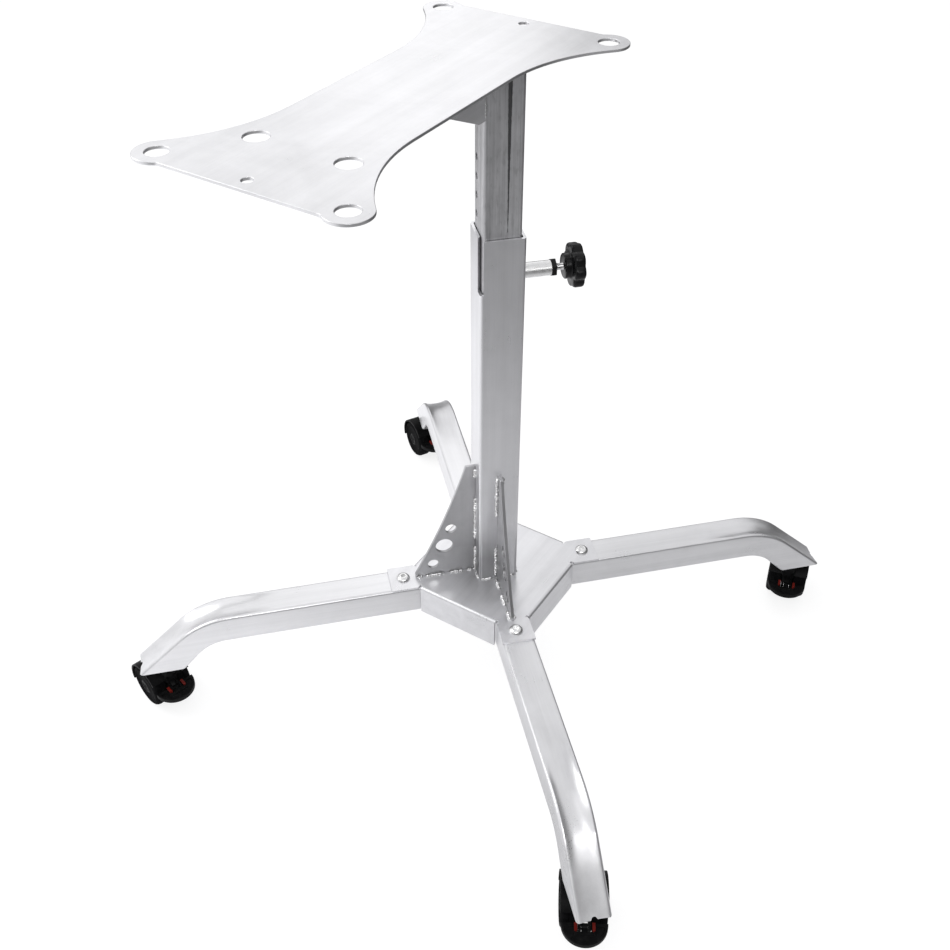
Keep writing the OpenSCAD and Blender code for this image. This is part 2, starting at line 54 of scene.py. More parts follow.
MM = 0.001
TAU = 2 * math.pi
X, Y, Z = range(3)
NODES = frame["nodes"]
BODIES = frame["record"]["behaviour"]["bodies"]
BODY_OF = {node: body for body, nodes in BODIES.items() for node in nodes}
CORNERS = ("rear_right", "rear_left", "front_left", "front_right")

# ---- Places, from the CAD frame ------------------------------------------------


def middle(node):
    lo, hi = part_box(node)
    return (lo + hi) / 2


def low(node):
    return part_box(node)[0]


def high(node):
    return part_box(node)[1]


def turn_z(degrees):
    return Matrix.Rotation(math.radians(degrees), 4, "Z")


def caster_frame(corner):
    """Frame of a caster: Z up its stem from the floor, X away from its axle."""
    stem = middle(f"caster_stem_{corner}")
    ahead = stem - middle(f"caster_axle_{corner}")
    turn = Matrix.Rotation(math.atan2(ahead.y, ahead.x), 4, "Z")
    return Matrix.Translation((stem.x, stem.y, 0)) @ turn


SLEEVE = middle("mast_sleeve")
HUB_TOP = low("mast_sleeve").z
SLEEVE_HALF = 0.025
TUBE_HALF = 0.021
PLATE_UNDER = low("top_plate").z
SCREW_Z = middle("clamp_pad").z
LEG_TOP = high("leg_front_left").z
TIP_Z = low("leg_front_left").z
WHEEL_R = high("wheel_left_front_left").z / 2
MAST = Matrix.Translation((SLEEVE.x, SLEEVE.y, 0)) @ turn_z(45)
LEG = {c: MAST @ turn_z(90 * i) for i, c in enumerate(CORNERS)}
CASTER = {c: caster_frame(c) for c in CORNERS}
# The foot of the sleeve's front corner, and the clamp screw's frame with Z outwards along it.
FOOT = Vector((SLEEVE.x, SLEEVE.y - SLEEVE_HALF * math.sqrt(2), HUB_TOP))
SCREW = MAST @ Matrix.Translation((0, 0, SCREW_Z)) @ Matrix.Rotation(math.pi / 2, 4, "Y")

# ---- Node materials ------------------------------------------------------------


def grey(value):
    """A tone as a colour, very slightly cool; a colour is left as it is."""
    return value if isinstance(value, tuple) else (value, value, value * 1.006)


def stretched(axis, along, across):
    """Noise scale in cycles a metre, with its own value along one axis."""
    scale = [across] * 3
    scale[axis] = along
    return scale


class Nodes:
    """A node tree under construction, with the helpers that the world and materials share."""

    def __init__(self, tree):
        self.tree = tree
        tree.nodes.clear()

    def node(self, kind, **settings):
        made = self.tree.nodes.new(kind)
        for key, value in settings.items():
            setattr(made, key, value)
        return made

    def link(self, source, target):
        self.tree.links.new(source, target)

    def vector(self, operation, vector, other):
        made = self.node("ShaderNodeVectorMath", operation=operation)
        made.inputs[1].default_value = other
        self.link(vector, made.inputs[0])
        return made.outputs

    def dot(self, vector, other):
        return self.vector("DOT_PRODUCT", vector, other)["Value"]

    def ramp(self, factor, *stops):
        made = self.node("ShaderNodeValToRGB")
        bar = made.color_ramp.elements
        while len(bar) < len(stops):
            bar.new(0.5)
        for element, (place, colour) in zip(bar, stops):
            element.position = place
            element.color = (*grey(colour), 1)
        self.link(factor, made.inputs[0])
        return made.outputs[0]

    def spread(self, factor, low_value, high_value, start=0.3, end=0.7, kind="LINEAR"):
        """Maps start..end to low_value..high_value."""
        made = self.node("ShaderNodeMapRange", interpolation_type=kind)
        for i, value in enumerate((start, end, low_value, high_value), 1):
            made.inputs[i].default_value = value
        self.link(factor, made.inputs[0])
        return made.outputs[0]

    def mix(self, kind, factor, first, second):
        made = self.node("ShaderNodeMix", data_type="RGBA", blend_type=kind)
        for socket, value in ((0, factor), (6, first), (7, second)):
            if isinstance(value, (int, float)):
                made.inputs[socket].default_value = value
            elif isinstance(value, tuple):
                made.inputs[socket].default_value = (*value, 1)
            else:
                self.link(value, made.inputs[socket])
        return made.outputs[2]


class Shader(Nodes):
    """A node material under construction, with one principled surface."""

    def __init__(self, name, **sockets):
        self.material = bpy.data.materials.new(name)
        self.material.use_nodes = True
        super().__init__(self.material.node_tree)
        out = self.node("ShaderNodeOutputMaterial")
        self.surface = self.node("ShaderNodeBsdfPrincipled")
        self.link(self.surface.outputs[0], out.inputs[0])
        for socket, value in sockets.items():
            self.surface.inputs[socket.replace("_", " ")].default_value = value
        self.place = self.node("ShaderNodeTexCoord").outputs["Object"]

    def turned(self, degrees):
        made = self.node("ShaderNodeVectorRotate", rotation_type="Z_AXIS")
        made.inputs["Angle"].default_value = math.radians(degrees)
        self.link(self.place, made.inputs["Vector"])
        return made.outputs[0]

    def scaled(self, vector, scale):
        return self.vector("MULTIPLY", vector, scale)[0]

    def noise(self, vector, scale=1.0, detail=4.0, roughness=0.55, distortion=0.0):
        made = self.node("ShaderNodeTexNoise")
        for key, value in (("Scale", scale), ("Detail", detail), ("Roughness", roughness),
                           ("Distortion", distortion)):
            made.inputs[key].default_value = value
        self.link(vector, made.inputs["Vector"])
        return made.outputs[0]

    def bump(self, height, strength, distance, under=None):
        made = self.node("ShaderNodeBump")
        made.inputs["Strength"].default_value = strength
        made.inputs["Distance"].default_value = distance
        self.link(height, made.inputs["Height"])
        if under is not None:
            self.link(under, made.inputs["Normal"])
        return made.outputs[0]

    def finish(self, colour, roughness, normal):
        self.link(colour, self.surface.inputs["Base Color"])
        self.link(roughness, self.surface.inputs["Roughness"])
        self.link(normal, self.surface.inputs["Normal"])
        return self.material


def rolled_steel(name, tone, rough, axis, turn=0.0, contrast=0.05, streak=0.04, weld_tint_and_shade=None,
                 metal=0.85):
    """Satin steel: fine grain along one axis, rolling marks and cloudy handling marks.
    The darkening (centre, reach, share) darkens the steel around that point, partly as weld
    discolouration and partly as painted shade and painted reflection where the gussets
    meet the sleeve and hub."""
    s = Shader(name, Metallic=metal, Specular_IOR_Level=0.5)
    place = s.turned(-turn)
    fine = s.noise(s.scaled(place, stretched(axis, along=14.0, across=900.0)), detail=3.0)
    streaks = s.noise(s.scaled(place, stretched(axis, along=2.5, across=70.0)), detail=5.0,
                      roughness=0.6)
    cloud = s.noise(place, scale=14.0, detail=6.0, roughness=0.62, distortion=0.4)
    colour = s.ramp(cloud, (0.3, tone - contrast), (0.72, tone + 0.6 * contrast))
    colour = s.mix("MULTIPLY", 1.0, colour,
                   s.ramp(streaks, (0.3, 1.0 - 2.4 * streak), (0.62, 1.0)))
    colour = s.mix("MULTIPLY", 1.0, colour, s.ramp(fine, (0.35, 0.975), (0.65, 1.0)))
    # Painted shade and painted reflection in the corner, partly weld discolouration: the steel
    # darkens towards the given point.
    if weld_tint_and_shade:
        centre, reach, share = weld_tint_and_shade
        away = s.vector("DISTANCE", s.place, centre)["Value"]
        clean = s.spread(away, 0.0, 1.0, 0.2 * reach, reach)
        mottled = s.mix("MIX", 0.12, clean, cloud)
        colour = s.mix("MULTIPLY", 1.0, colour, s.ramp(mottled, (0.0, share), (0.85, 1.0)))
    roughness = s.spread(s.mix("MIX", 0.75, fine, cloud), rough - 0.05, rough + 0.06)
    normal = s.bump(fine, 0.05, 0.1 * MM, s.bump(cloud, 0.05, 0.5 * MM))
    return s.finish(colour, roughness, normal)


def mill_tube(name, tone):
    """Drawn tube: lengthwise drawing lines, darker patches and oxide flecks."""
    s = Shader(name, Metallic=0.8, Specular_IOR_Level=0.5)
    place = s.turned(-45)
    lines = s.noise(s.scaled(place, stretched(Z, along=5.0, across=420.0)), roughness=0.6)
    wide = s.noise(s.scaled(place, stretched(Z, along=3.5, across=95.0)), detail=5.0,
                   roughness=0.6)
    flecks = s.noise(s.scaled(place, stretched(Z, along=90.0, across=300.0)), detail=3.0,
                     roughness=0.5)
    cloud = s.noise(place, scale=26.0, detail=5.0, roughness=0.65, distortion=0.5)
    colour = s.ramp(wide, (0.28, tone * 0.7), (0.5, tone), (0.74, tone * 1.18))
    colour = s.mix("MULTIPLY", 1.0, colour, s.ramp(lines, (0.32, 0.78), (0.6, 1.0)))
    colour = s.mix("MULTIPLY", 1.0, colour, s.ramp(flecks, (0.3, 0.84), (0.46, 1.0)))
    colour = s.mix("MULTIPLY", 0.8, colour, s.ramp(cloud, (0.3, 0.78), (0.65, 1.0)))
    roughness = s.spread(s.mix("MIX", 0.5, lines, cloud), 0.34, 0.56)
    return s.finish(colour, roughness, s.bump(lines, 0.15, 0.12 * MM))


def bright_metal(name, tone, rough, tint=(1.0, 1.0, 1.0), ripple=0.15):
    """Plated, blackened or turned metal with faint clouding and small dull spots."""
    s = Shader(name, Metallic=1.0)
    cloud = s.noise(s.place, scale=160.0, roughness=0.6)
    spots = s.noise(s.place, scale=900.0, detail=2.0)
    base = tuple(tone * t for t in tint)
    colour = s.ramp(cloud, (0.3, tuple(0.86 * b for b in base)), (0.7, base))
    roughness = s.spread(s.mix("MIX", 0.5, cloud, spots), rough * 0.6, rough * 1.7)
    return s.finish(colour, roughness, s.bump(spots, ripple, 0.1 * MM))


def moulded(name, colour, rough, grain=0.25, scale=1400.0, wear=1.5, gloss=0.2):
    """Moulded plastic: fine spark-eroded grain, slightly paler scuffs and dust."""
    s = Shader(name, Metallic=0.0, Specular_IOR_Level=gloss)
    grains = s.noise(s.place, scale=scale, detail=3.0, roughness=0.5)
    scuffs = s.noise(s.place, scale=90.0, detail=6.0, roughness=0.7, distortion=0.6)
    pale = tuple(min(1.0, c * wear + 0.006) for c in colour)
    tone = s.ramp(scuffs, (0.46, colour), (0.72, pale))
    roughness = s.spread(s.mix("MIX", 0.6, grains, scuffs), rough - 0.1, rough + 0.14)
    return s.finish(tone, roughness, s.bump(grains, grain, 0.1 * MM))


MATERIALS = {
    "plate": rolled_steel("plate_satin", 0.8, 0.32, Y, contrast=0.1, streak=0.026),
    "leg_x": rolled_steel("leg_satin_x", 0.8, 0.3, X, turn=45),
    "leg_y": rolled_steel("leg_satin_y", 0.8, 0.3, Y, turn=45),
    # The sleeve, hub and gussets darken towards the foot of the front corner: painted shade and
    # painted reflection of the dark gussets, partly weld discolouration.
    "sleeve": rolled_steel("sleeve_satin", 0.74, 0.3, Z, turn=45, streak=0.03,
                           weld_tint_and_shade=(FOOT + Vector((0.004, 0.004, 0.02)), 0.085, 0.42)),
    "hub": rolled_steel("hub_satin", 0.78, 0.3, X, turn=90, contrast=0.07,
                        weld_tint_and_shade=(FOOT, 0.05, 0.8)),
    # Painted shade: the gussets' tone is set well below the sleeve's, for the shade on their
    # faces.
    "gusset": rolled_steel("gusset_satin", 0.52, 0.34, Z, turn=45, contrast=0.08,
                           weld_tint_and_shade=(FOOT, 0.13, 0.6)),
    # Painted light: the bracket's tone is raised to lighten it in the shade under the top plate.
    "bracket": rolled_steel("bracket_steel", 0.84, 0.46, Y, contrast=0.06, metal=0.4),
    "tube": mill_tube("tube_mill", 0.59),
    # A near-black tube finish, for the dark strip down the tube's front.
    "dark_line": mill_tube("tube_dark_line", 0.13),
    "weld": bright_metal("weld_bead", 0.86, 0.22, ripple=0.4),
    "zinc": bright_metal("zinc_plate", 0.9, 0.2, ripple=0.06),
    "boss": bright_metal("boss_satin", 0.9, 0.3, ripple=0.03),
    "dark": bright_metal("black_oxide", 0.03, 0.3),
    "brass": bright_metal("turned_brass", 0.8, 0.2, tint=(0.95, 0.74, 0.36)),
    "knob": moulded("knob_plastic", (0.005, 0.005, 0.0055), 0.2, grain=0.12),
    "caster": moulded("caster_nylon", (0.004, 0.004, 0.0043), 0.45, wear=1.2, gloss=0.08),
    "tread": moulded("tread_worn", (0.004, 0.004, 0.0044), 0.8, scale=800.0, wear=1.3,
                     gloss=0.04),
    "brake": moulded("brake_red", (0.13, 0.009, 0.006), 0.4),
}

# ---- Camera, lights and floor --------------------------------------------------

LENS, SENSOR = 44.05, 36.0      # in millimetres
CAMERA_AT = (SLEEVE.x + 0.5673, SLEEVE.y - 0.9402, HUB_TOP + 1.0644)
LOOKING = Vector((-0.4117, 0.6495, -0.6394))
FLOOR_HALF = 9.0
LAMPS = (   # name, place, target, (width, height), watts
    ("key", (-1.7, -0.9, 1.9), (0, 0, 0.4), (1.4, 1.4), 18),
    ("top", (-0.4, -0.3, 2.6), (0, 0, 0.3), (1.6, 1.6), 3),
    ("back", (-0.83, 1.14, 1.4), (0, -0.1, 0.84), (0.5, 0.6), 0.7),
    ("left", (-1.29, 0.71, 1.57), (-0.25, -0.25, 0.15), (0.8, 0.8), 0.7),
    ("low", (1.2, -0.62, 1.3), (0.03, 0.03, 0.74), (0.45, 0.45), 1.3),
    ("front", (0.9, -1.5, 1.9), (0.1, -0.1, 0.4), (0.6, 0.6), 8),
)


def show(name, data):
    """Puts a new object into the scene."""
    made = bpy.data.objects.new(name, data)
    bpy.context.scene.collection.objects.link(made)
    return made


def aim(made, place, direction):
    """Puts a camera or a lamp at a place, looking in a direction."""
    made.location = place
    made.rotation_mode = "QUATERNION"
    made.rotation_quaternion = direction.to_track_quat("-Z", "Y")


def make_camera():
    data = bpy.data.cameras.new("photo_camera")
    data.lens = LENS
    data.sensor_width = SENSOR
    camera = show("photo_camera", data)
    aim(camera, CAMERA_AT, LOOKING)
    bpy.context.scene.camera = camera


def make_lamp(name, place, target, size, watts):
    data = bpy.data.lights.new(name, "AREA")
    data.shape = "RECTANGLE"
    data.size, data.size_y = size
    data.energy = watts
    aim(show(name, data), place, Vector(target) - Vector(place))


def make_world():
    """Soft studio surround: bright overhead on the left, dark near the horizon and on the
    right, so that flat faces and bends read apart. The camera itself sees plain white."""
    world = bpy.data.worlds.new("studio")
    world.use_nodes = True
    s = Nodes(world.node_tree)
    out = s.node("ShaderNodeOutputWorld")
    back = s.node("ShaderNodeBackground")
    s.link(back.outputs[0], out.inputs[0])
    where = s.node("ShaderNodeTexCoord").outputs["Generated"]
    seen = s.node("ShaderNodeLightPath").outputs["Is Camera Ray"]
    up_and_left, up_and_near = (-0.447, 0.0, 0.894), (0.0, -0.35, 1.0)
    overhead = s.spread(s.dot(where, up_and_left), 0.0, 1.0, -1.0, 1.0)
    tones = ((0.0, 0.18), (0.57, 0.2), (0.7, 0.84), (0.94, 0.88), (0.975, 0.64), (1.0, 0.56))
    light = s.ramp(overhead, *((place, (v, v, 1.01 * v)) for place, v in tones))
    s.link(s.mix("MIX", seen, light, (1.0, 1.0, 1.0)), back.inputs[0])
    height = s.spread(s.dot(where, up_and_near), 0.16, 1.0, -0.2, 0.07, "SMOOTHSTEP")
    strength = s.node("ShaderNodeMath", operation="MAXIMUM")
    s.link(height, strength.inputs[0])
    s.link(seen, strength.inputs[1])
    s.link(strength.outputs[0], back.inputs[1])
    bpy.context.scene.world = world


def floor_material():
    """Pale floor. To the camera it is plain, with faint contact shadows; what it throws
    back on the object falls off to the right and to the back, as from a lit paper sweep."""
    s = Shader("floor_paper", Roughness=0.9, Specular_IOR_Level=0.1)
    seen = s.ramp(s.noise(s.place, scale=3.0, detail=2.0), (0.0, 0.26), (1.0, 0.28))
    to_the_right = (0.96, -0.22, 0.0)
    rightwards = s.spread(s.dot(s.place, to_the_right), 0.0, 1.0, -0.5, 1.0)
    thrown = s.ramp(rightwards, (0.0, 0.66), (0.27, 0.62), (0.46, 0.42), (0.56, 0.42),
                    (0.68, 0.37), (1.0, 0.17))
    apart = s.node("ShaderNodeSeparateXYZ")
    s.link(s.place, apart.inputs[0])
    backwards = s.spread(apart.outputs["Y"], 0.0, 1.0, 0.42, 0.8)
    thrown = s.mix("MULTIPLY", 1.0, thrown, s.ramp(backwards, (0.0, 1.0), (1.0, 0.15)))
    to_camera = s.node("ShaderNodeLightPath").outputs["Is Camera Ray"]
    glow = s.mix("MIX", to_camera, thrown, (1.16, 1.16, 1.16))
    s.link(s.mix("MIX", to_camera, thrown, seen), s.surface.inputs["Base Color"])
    s.link(glow, s.surface.inputs["Emission Color"])
    s.surface.inputs["Emission Strength"].default_value = 0.7
    return s.material


def make_floor():
    bm = bmesh.new()
    bmesh.ops.create_grid(bm, x_segments=8, y_segments=8, size=FLOOR_HALF)
    mesh = bpy.data.meshes.new("floor")
    bm.to_mesh(mesh)
    bm.free()
    mesh.materials.append(floor_material())
    floor = show("floor", mesh)


def make_stage():
    bpy.context.scene.view_settings.view_transform = "Standard"
    make_camera()
    make_world()
    make_floor()
    for lamp in LAMPS:
        make_lamp(*lamp)


# ---- Mesh building -------------------------------------------------------------

WELDED = 0.002 * MM     # points closer than this are one point
FLAT_ANGLE = 0.6        # faces that meet at less than this are one flat face, in degrees
EASED_ANGLE = 25.0      # edges that are sharper than this are eased, in degrees


def piece(name, bm, material, body, replaced=(), angle=34.0, weighted=False):
    """Turns a bmesh in the row frame into a named piece that rides on its body. Edges
    sharper than the angle stay crisp."""
    bmesh.ops.recalc_face_normals(bm, faces=bm.faces)
    mesh = bpy.data.meshes.new(name)
    for face in bm.faces:
        face.smooth = True
    bm.to_mesh(mesh)
    bm.free()
    mesh.set_sharp_from_angle(angle=math.radians(angle))
    made = show(name, mesh)
    mesh.materials.append(MATERIALS[material])
    if weighted:
        made.modifiers.new("even_normals", "WEIGHTED_NORMAL").keep_sharp = True
    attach(made, body)
    if replaced:
        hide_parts(*replaced)


def from_node(node):
    """The CAD node's solid as a clean bmesh: welded, with its flat faces whole."""
    bm = bmesh.new()
    bm.from_mesh(NODES[node].data)
    bmesh.ops.remove_doubles(bm, verts=bm.verts, dist=WELDED)
    bmesh.ops.dissolve_limit(bm, angle_limit=math.radians(FLAT_ANGLE), verts=bm.verts,
                             edges=bm.edges)
    return bm


def ease_edges(bm, width, segments=2):
    """Rounds every sharp edge, as deburring and coating do. The width is in millimetres."""
    sharp = [e for e in bm.edges if len(e.link_faces) == 2
             and e.calc_face_angle(0) > math.radians(EASED_ANGLE)]
    bmesh.ops.bevel(bm, geom=sharp, offset=width * MM, segments=segments, profile=0.5,
                    affect="EDGES", clamp_overlap=True)
    return bm


def eased(node, material, width, segments=2):
    """A piece that stands for a CAD node, with its edges eased."""
    piece(f"{node}_finish", ease_edges(from_node(node), width, segments), material,
          BODY_OF[node], [node], weighted=True)


def loft(bm, rings, close_ends=True):
    """Skins a list of equal rings of points, and returns their rows of vertices."""
    rows = [[bm.verts.new(p) for p in ring] for ring in rings]
    for first, second in zip(rows, rows[1:]):
        join(bm, first, second)
    if close_ends:
        bm.faces.new(rows[0][::-1])
        bm.faces.new(rows[-1])
    return rows


def join(bm, first, second):
    """One band of faces between two closed rows of vertices."""
    for i in range(len(first)):
        j = (i + 1) % len(first)
        bm.faces.new((first[i], first[j], second[j], second[i]))


def turned_rings(profile, matrix, steps, reshape=None):
    """Rings of a turned shape. The profile is (radius, height) pairs in millimetres, which
    reshape(radius, height, angle) may change."""
    rings = []
    for radius, height in profile:
        ring = []
        for i in range(steps):
            a = TAU * i / steps
            r, h = reshape(radius, height, a) if reshape else (radius, height)
            ring.append(matrix @ Vector((r * MM * math.cos(a), r * MM * math.sin(a), h * MM)))
        rings.append(ring)
    return rings


def smooth(t):
    """Soft step from 0 to 1."""
    t = min(1.0, max(0.0, t))
    return t * t * (3 - 2 * t)


# ---- Legs, in millimetres ------------------------------------------------------

LEG_W = 40.0
LEG_WALL = 2.5
LEG_CORNER, LEG_CORNER_INSIDE = 3.4, 1.6
LEG_START = 42.0
OVER_X, OVER_R, OVER_A = 342.0, 100.0, 42.0     # upper side: start, radius, angle of its bend
UNDER_X, UNDER_R, UNDER_A = 352.0, 50.0, 47.0   # lower side
STRAIGHT_STEPS, BEND_STEPS, TIP_STEPS = 15, 18, 10
DISH, DISH_UNDER = 4.9, 0.22    # how far the upper wall is drawn in, and the lower's share
DISH_FROM, DISH_RISE = 280.0, 64.0
DISH_TO, DISH_FALL, DISH_LEFT = 378.0, 52.0, 0.2
NOTCH_R = 3.4
PLUG_GAP, PLUG_DEPTH = 0.12, 20.0


def dish_depth(x):
    """How far the upper wall is drawn in at this distance from the mast. A small share
    of it stays up to the tip."""
    rise = smooth((x - DISH_FROM) / DISH_RISE)
    return DISH * rise * (1 - (1 - DISH_LEFT) * smooth((x - DISH_TO) / DISH_FALL))


def bend_point(x, z, radius, degrees):
    """Point of a downward bend that starts level at x, z."""
    a = math.radians(degrees)
    return x + radius * math.sin(a), z - radius * (1 - math.cos(a))


def leg_stations():
    """Stations along the leg as (upper point, lower point, dish depth)."""
    top = LEG_TOP / MM
    bottom = top - LEG_W
    tip = TIP_Z / MM
    pairs = []
    for i in range(STRAIGHT_STEPS):
        t = i / STRAIGHT_STEPS
        pairs.append((LEG_START + t * (OVER_X - LEG_START), top,
                      LEG_START + t * (UNDER_X - LEG_START), bottom))
    for i in range(BEND_STEPS + 1):
        pairs.append((*bend_point(OVER_X, top, OVER_R, OVER_A * i / BEND_STEPS),
                      *bend_point(UNDER_X, bottom, UNDER_R, UNDER_A * i / BEND_STEPS)))
    upper_x, upper_z, lower_x, lower_z = pairs[-1]
    upper_run = (upper_z - tip) / math.tan(math.radians(OVER_A))
    lower_run = (lower_z - tip) / math.tan(math.radians(UNDER_A))
    for i in range(1, TIP_STEPS + 1):
        t = i / TIP_STEPS
        pairs.append((upper_x + t * upper_run, upper_z + t * (tip - upper_z),
                      lower_x + t * lower_run, lower_z + t * (tip - lower_z)))
    return [(Vector((ux, 0, uz)), Vector((lx, 0, lz)), dish_depth(ux))
            for ux, uz, lx, lz in pairs]


def leg_section(inset):
    """Rounded square as (across, on the upper wall, depth from that wall, dish share)."""
    r = LEG_CORNER_INSIDE if inset else LEG_CORNER
    flat = LEG_W / 2 - inset - r
    corner_steps, upper_steps, lower_steps = 5, 18, 10

    def corner(side, upper, outwards):
        arc = []
        for i in range(corner_steps + 1):
            a = math.radians(90 * i / corner_steps)
            arc.append((side * (flat + r * math.sin(a)), upper, inset + r - r * math.cos(a), 0.0))
        return arc if outwards else arc[::-1]

    upper_wall = []
    for i in range(1, upper_steps):
        u = 1 - 2 * i / upper_steps
        u *= abs(u) ** 0.35
        upper_wall.append((flat * u, True, inset, (1 - abs(u) ** 2.7) ** 1.1))
    lower_wall = []
    for i in range(1, lower_steps):
        u = 2 * i / lower_steps - 1
        lower_wall.append((flat * u, False, inset, DISH_UNDER * (1 - u * u)))
    return (corner(1, False, True) + corner(1, True, False) + upper_wall
            + corner(-1, True, True) + corner(-1, False, False) + lower_wall)


def leg_ring(station, section, matrix, notch):
    """One ring of the tube; the cut end has a half-round notch in its upper wall."""
    upper, lower, dish = station
    slope = math.radians(OVER_A)
    back_up = Vector((-math.cos(slope), 0, math.sin(slope)))
    span = upper - lower
    stretch = span.length / LEG_W
    down = -span.normalized()
    ring = []
    for across, on_upper, depth, share in section:
        inwards = down * (depth * stretch + dish * share)
        if on_upper:
            spot = upper + inwards
            spot += back_up * math.sqrt(max(0.0, notch * notch - across * across))
        else:
            spot = lower - inwards
        ring.append(matrix @ (Vector((spot.x, across, spot.z)) * MM))
    return ring


def leg_rings(stations, inset, corner):
    """Rings along the stations, with the notch in the last one."""
    section = leg_section(inset)
    return [leg_ring(s, section, LEG[corner], NOTCH_R if s is stations[-1] else 0.0)
            for s in stations]


def make_leg(corner):
    """Bent square tube: its upper wall is drawn in over the bend, as such tube is."""
    bm = bmesh.new()
    stations = leg_stations()
    outside = loft(bm, leg_rings(stations, 0.0, corner), close_ends=False)
    inside = loft(bm, leg_rings(stations, LEG_WALL, corner), close_ends=False)
    for end in (0, -1):
        join(bm, outside[end], inside[end])
    node = f"leg_{corner}"
    grain = "leg_x" if corner in ("rear_right", "front_left") else "leg_y"
    piece(f"{node}_tube", bm, grain, "base", [node], angle=30)


def make_plug(corner):
    """Moulded insert in the leg's cut end, which holds the caster's stem."""
    held = [s for s in leg_stations() if s[0].z < TIP_Z / MM + PLUG_DEPTH]
    bm = bmesh.new()
    loft(bm, leg_rings(held, LEG_WALL + PLUG_GAP, corner))
    node = f"stem_socket_{corner}"
    piece(f"{node}_plug", bm, "caster", "base", [node], angle=40)


# ---- Welds, in millimetres -----------------------------------------------------

BEAD_STEP = 0.9
BEAD_SIDES = 10
BEAD_JITTER, BEAD_WANDER = 0.12, 0.16   # random changes of its size and its place
HUB, UNDER = HUB_TOP / MM, PLATE_UNDER / MM     # heights that the welds lie at
HALF, TUBE = SLEEVE_HALF / MM, TUBE_HALF / MM   # half the width of the sleeve and the tube
TUBE_CORNER = 4.0


def stretches(steps, breaks):
    """Shares of a run that are welded, in unbroken stretches of at least four."""
    found = []
    current = []
    for i in range(steps + 1):
        t = i / steps
        if any(a < t < b for a, b in breaks):
            found.append(current)
            current = []
        else:
            current.append(t)
    found.append(current)
    return [stretch for stretch in found if len(stretch) > 3]


def bead(bm, start, end, width, rng, breaks):
    """An irregular weld bead with its ripples. The two points and the width are in metres.
    Breaks are the stretches, as shares of the run, that are left unwelded."""
    run = end - start
    steps = max(8, int(run.length / (BEAD_STEP * MM)))
    along = run.normalized()
    side = along.orthogonal().normalized()
    up = along.cross(side)
    for shares in stretches(steps, breaks):
        rings = []
        phase = rng.uniform(0, TAU)
        for i, t in enumerate(shares):
            from_end = min(i, len(shares) - 1 - i) / 2.0
            swell = 0.35 + 0.65 * min(1.0, from_end)
            ripple = 0.84 + 0.16 * math.sin(phase + i * 1.9)
            ripple += rng.uniform(-BEAD_JITTER, BEAD_JITTER)
            size = width * swell * ripple
            wander = Vector([rng.uniform(-BEAD_WANDER, BEAD_WANDER) * width for _ in range(3)])
            spot = start + run * t + wander
            rings.append([spot + (side * math.cos(a) + up * math.sin(a)) * size
                          for a in (TAU * k / BEAD_SIDES for k in range(BEAD_SIDES))])
        loft(bm, rings)


def weld(name, runs, body, seed, matrix=MAST):
    """Several beads as one piece. A run is (start, end, width, breaks) in the matrix's
    frame."""
    rng = random.Random(seed)
    bm = bmesh.new()
    for start, end, width, breaks in runs:
        bead(bm, matrix @ (Vector(start) * MM), matrix @ (Vector(end) * MM), width * MM, rng,
             breaks)
    piece(name, bm, "weld", body, angle=60)


def square_runs(half, corner, height, width, breaks):
    """Four runs round a square tube, short of its rounded corners. Each is the last one
    after an exact quarter turn."""
    start, end = (half, corner - half), (half, half - corner)
    runs = []
    for _ in range(4):
        runs.append(((*start, height), (*end, height), width, breaks))
        start, end = ((-y, x) for x, y in (start, end))
    return runs


def weld_gussets():
    width, beside, clear = 2.6, 3.2, 4.0
    tall, far = 168.0, 102.0
    for corner, turn in (("front_left", 180), ("front_right", 270)):
        runs = []
        for side in (-1, 1):
            y = side * beside
            upright = ((0.22, 0.3), (0.72, 0.92)) if side > 0 else ((0.3, 0.62),)
            foot = (((0.1, 0.17), (0.42, 0.5), (0.86, 0.9)) if side > 0
                    else ((0.25, 0.4), (0.66, 0.78)))
            runs.append(((HALF + 0.4, y, HUB + clear), (HALF + 0.4, y, HUB + tall), width,
                         upright))
            runs.append(((HALF + clear, y, HUB + 0.4), (far, y, HUB + 0.4), width, foot))
        weld(f"weld_gusset_{corner}", runs, "base", 11 + turn, MAST @ turn_z(turn))


def weld_boss():
    radius, count = 8.6, 12
    height = SCREW_Z / MM
    ring = [(HALF + 0.2, radius * math.cos(a), height + radius * math.sin(a))
            for a in (TAU * i / count for i in range(count + 1))]
    weld("weld_boss", [(a, b, 0.8, ()) for a, b in zip(ring, ring[1:])], "base", 9)


def weld_bracket():
    """Beads on both sides of the plate's gusset. The upright one on its right is thin,
    because it passes close to the edge of the sleeve's slot."""
    corner_r = (TUBE - TUBE_CORNER) * math.sqrt(2) + TUBE_CORNER
    y = -corner_r - 0.7
    height = UNDER - 0.3
    runs = []
    for x, width in ((-1.9, 1.4), (1.5, 0.9)):
        runs.append(((x, y, UNDER - 66), (x, y, UNDER - 4), width, ((0.3, 0.42), (0.66, 0.72))))
        for a, b in ((-42, -66), (-84, -104), (-128, -146), (-160, -172)):
            runs.append(((x, a, height), (x, b, height), 1.4, ()))
    weld("weld_bracket", runs, "mast", 21, Matrix.Translation((SLEEVE.x, SLEEVE.y, 0)))


def make_welds():
    weld_gussets()
    weld("weld_sleeve_foot", square_runs(HALF, 3.0, HUB + 0.3, 2.4, ((0.36, 0.5),)), "base", 5)
    weld_boss()
    weld_bracket()
    weld("weld_tube_head", square_runs(TUBE, TUBE_CORNER, UNDER - 0.3, 1.5, ((0.7, 0.82),)),
         "mast", 31)


